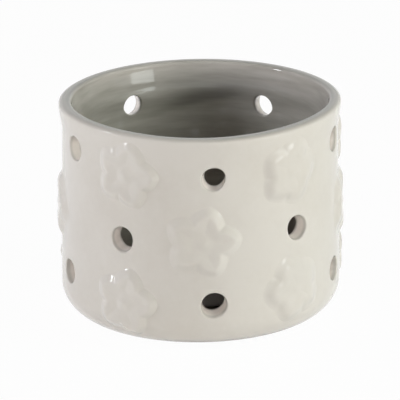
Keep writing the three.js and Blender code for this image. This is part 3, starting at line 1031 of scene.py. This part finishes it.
def pressed_foil(nodes, roughness):
    """Pressed aluminium with fine upright drawing lines and shallow dents."""
    place = nodes.coordinate("Object")
    lines = nodes.noise(nodes.stretch(place, FOIL_LINE_STRETCH), scale=2500.0)
    dents = nodes.noise(place, scale=260.0)
    roughnesses = (roughness - DENT_ROUGHNESS, roughness + DENT_ROUGHNESS)
    return nodes.principled(
        {
            "Base Color": nodes.ramp(lines, FOIL_LINE_SPAN, FOIL_DARK, FOIL_PALE),
            "Metallic": 1.0,
            "Roughness": nodes.range(dents, NOISE_SPAN, roughnesses),
            "Normal": nodes.bump(dents, strength=0.2, depth=0.08),
        }
    )


def paraffin(nodes):
    """Ivory paraffin that lets light a little way in, with a cloudy bloom."""
    place = nodes.coordinate("Object")
    cloud = nodes.noise(place, scale=120.0, detail=4.0, roughness=0.6)
    return nodes.principled(
        {
            "Base Color": nodes.ramp(cloud, NOISE_SPAN, WAX_DARK, WAX_PALE),
            "Roughness": nodes.range(cloud, NOISE_SPAN, WAX_ROUGHNESS),
            "IOR": WAX_IOR,
            "Subsurface Weight": WAX_LIGHT_WEIGHT,
            "Subsurface Radius": [reach * MM for reach in WAX_LIGHT_REACH],
            "Subsurface Scale": 1.0,
            "Normal": nodes.bump(nodes.noise(place, scale=350.0), strength=0.3, depth=0.1),
        }
    )


def waxed_cotton(nodes):
    """Waxed cotton with fine fibres."""
    fibres = nodes.noise(nodes.coordinate("Object"), scale=4000.0, detail=3.0, roughness=0.7)
    return nodes.principled(
        {
            "Base Color": nodes.ramp(fibres, NOISE_SPAN, COTTON_DARK, COTTON_PALE),
            "Roughness": COTTON_ROUGHNESS,
            "Sheen Weight": COTTON_SHEEN,
            "Normal": nodes.bump(fibres, strength=0.6, depth=0.1),
        }
    )


# Stage


def seen(nodes):
    """1 where a ray comes from the camera, or from the camera by way of gloss or glass."""
    path = nodes.add("ShaderNodeLightPath").outputs
    through = nodes.math("MAXIMUM", path["Is Glossy Ray"], path["Is Transmission Ray"])
    return nodes.math("MAXIMUM", path["Is Camera Ray"], through)


def make_world():
    """White where it is seen, and otherwise light near the horizon, weaker and bluer from behind."""
    world = bpy.data.worlds.new("studio")
    bpy.context.scene.world = world
    nodes = Nodes(world)
    way = nodes.split(nodes.coordinate("Generated"))
    strength = nodes.range(way["Z"], (0.0, SKY_LIGHT_TOP), (SKY_LIGHT, 0.0), "SMOOTHSTEP")
    behind = nodes.range(way["Y"], SKY_BLEND, (0.0, 1.0), "SMOOTHSTEP")
    color = nodes.mix(behind, SKY_FRONT_COLOR, SKY_BACK_COLOR)
    light = nodes.add("ShaderNodeBackground", {"Color": color, "Strength": strength}).outputs[0]
    white = nodes.add("ShaderNodeBackground", {"Color": WHITE, "Strength": 1.0}).outputs[0]
    nodes.output(nodes.mix_shaders(seen(nodes), light, white), "ShaderNodeOutputWorld")


def white_floor(nodes):
    """White that keeps a faint shadow, and is clear from below."""
    paint = nodes.add("ShaderNodeBsdfDiffuse", {"Color": STAGE_PAINT}).outputs[0]
    glow = nodes.add("ShaderNodeEmission", {"Color": WHITE, "Strength": 1.0}).outputs[0]
    top = nodes.mix_shaders(nodes.math("MULTIPLY", seen(nodes), STAGE_GLOW), paint, glow)
    clear = nodes.add("ShaderNodeBsdfTransparent").outputs[0]
    below = nodes.add("ShaderNodeNewGeometry").outputs["Backfacing"]
    return nodes.mix_shaders(below, top, clear)


def make_floor():
    """A round floor that the object stands on."""
    bpy.ops.mesh.primitive_circle_add(vertices=STAGE_SIDES, radius=STAGE_RADIUS, fill_type="NGON")
    floor = bpy.context.object
    floor.name = "floor"
    floor.data.materials.append(make_material("floor_white", white_floor))


def way_to(azimuth, elevation):
    """Direction from the object to what lies at an angle round it and an elevation."""
    flat = math.cos(elevation)
    return Vector((math.sin(azimuth) * flat, -math.cos(azimuth) * flat, math.sin(elevation)))


def make_lamp(name, side, elevation, distance, size, power, color, mirrored):
    """An area lamp that faces the object."""
    light = bpy.data.lights.new(name, "AREA")
    light.shape = "RECTANGLE"
    light.size, light.size_y = size
    light.energy = power
    light.color = color
    lamp = bpy.data.objects.new(name, light)
    back = way_to(CAMERA_AZIMUTH + math.radians(side), math.radians(elevation))
    lamp.location = MIDDLE + back * distance
    lamp.rotation_euler = (-back).to_track_quat("-Z", "Y").to_euler()
    lamp.visible_glossy = mirrored
    bpy.context.scene.collection.objects.link(lamp)


def make_camera():
    """A camera with the photograph's view."""
    data = bpy.data.cameras.new("camera")
    data.sensor_width = SENSOR_WIDTH
    data.lens = FOCAL_PIXELS / IMAGE_SIZE * SENSOR_WIDTH
    data.clip_start, data.clip_end = CAMERA_CLIP
    camera = bpy.data.objects.new("camera", data)
    back = way_to(CAMERA_AZIMUTH, CAMERA_ELEVATION)
    facing = (-back).to_track_quat("-Z", "Y").to_matrix() @ Matrix.Rotation(CAMERA_ROLL, 3, "Z")
    right, up = facing.col[0], facing.col[1]
    aim = MIDDLE + up * CAMERA_AIM_UP + right * CAMERA_AIM_RIGHT
    camera.matrix_world = Matrix.Translation(aim + back * CAMERA_DISTANCE) @ facing.to_4x4()
    bpy.context.scene.collection.objects.link(camera)
    bpy.context.scene.camera = camera


def dress(piece, body, slot, *nodes):
    """Sets a piece on its body, in place of solid nodes. The slot is not used."""
    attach(piece, body)
    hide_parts(*nodes)


make_camera()
make_world()
make_floor()
for lamp in LAMPS:
    make_lamp(**dict(zip(LAMP_FIELDS, lamp)))
bpy.context.scene.view_settings.view_transform = "Standard"

body_glaze = make_material("body_glaze", glazed_clay)
blossom_glaze = make_material("blossom_glaze", glazed_clay)
dress(holder_body(body_glaze), "holder", "body_glaze", "holder_body")
for place in places(holes=False):
    dress(blossom_object(place, blossom_glaze), "holder", "flower_glaze", f"flower_{place['name']}")

foil = make_material("foil", pressed_foil, FOIL_ROUGHNESS)
dress(foil_cup(foil), "tealight", "foil", "tealight_cup")
dress(wax(make_material("paraffin_wax", paraffin)), "tealight", "wax", "tealight_wax")
dress(wick(make_material("waxed_cotton", waxed_cotton)), "tealight", "wick", "tealight_wick")
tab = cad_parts["tealight_wick_tab"]
tab.data.materials.clear()
tab.data.materials.append(make_material("tab_metal", pressed_foil, TAB_ROUGHNESS))
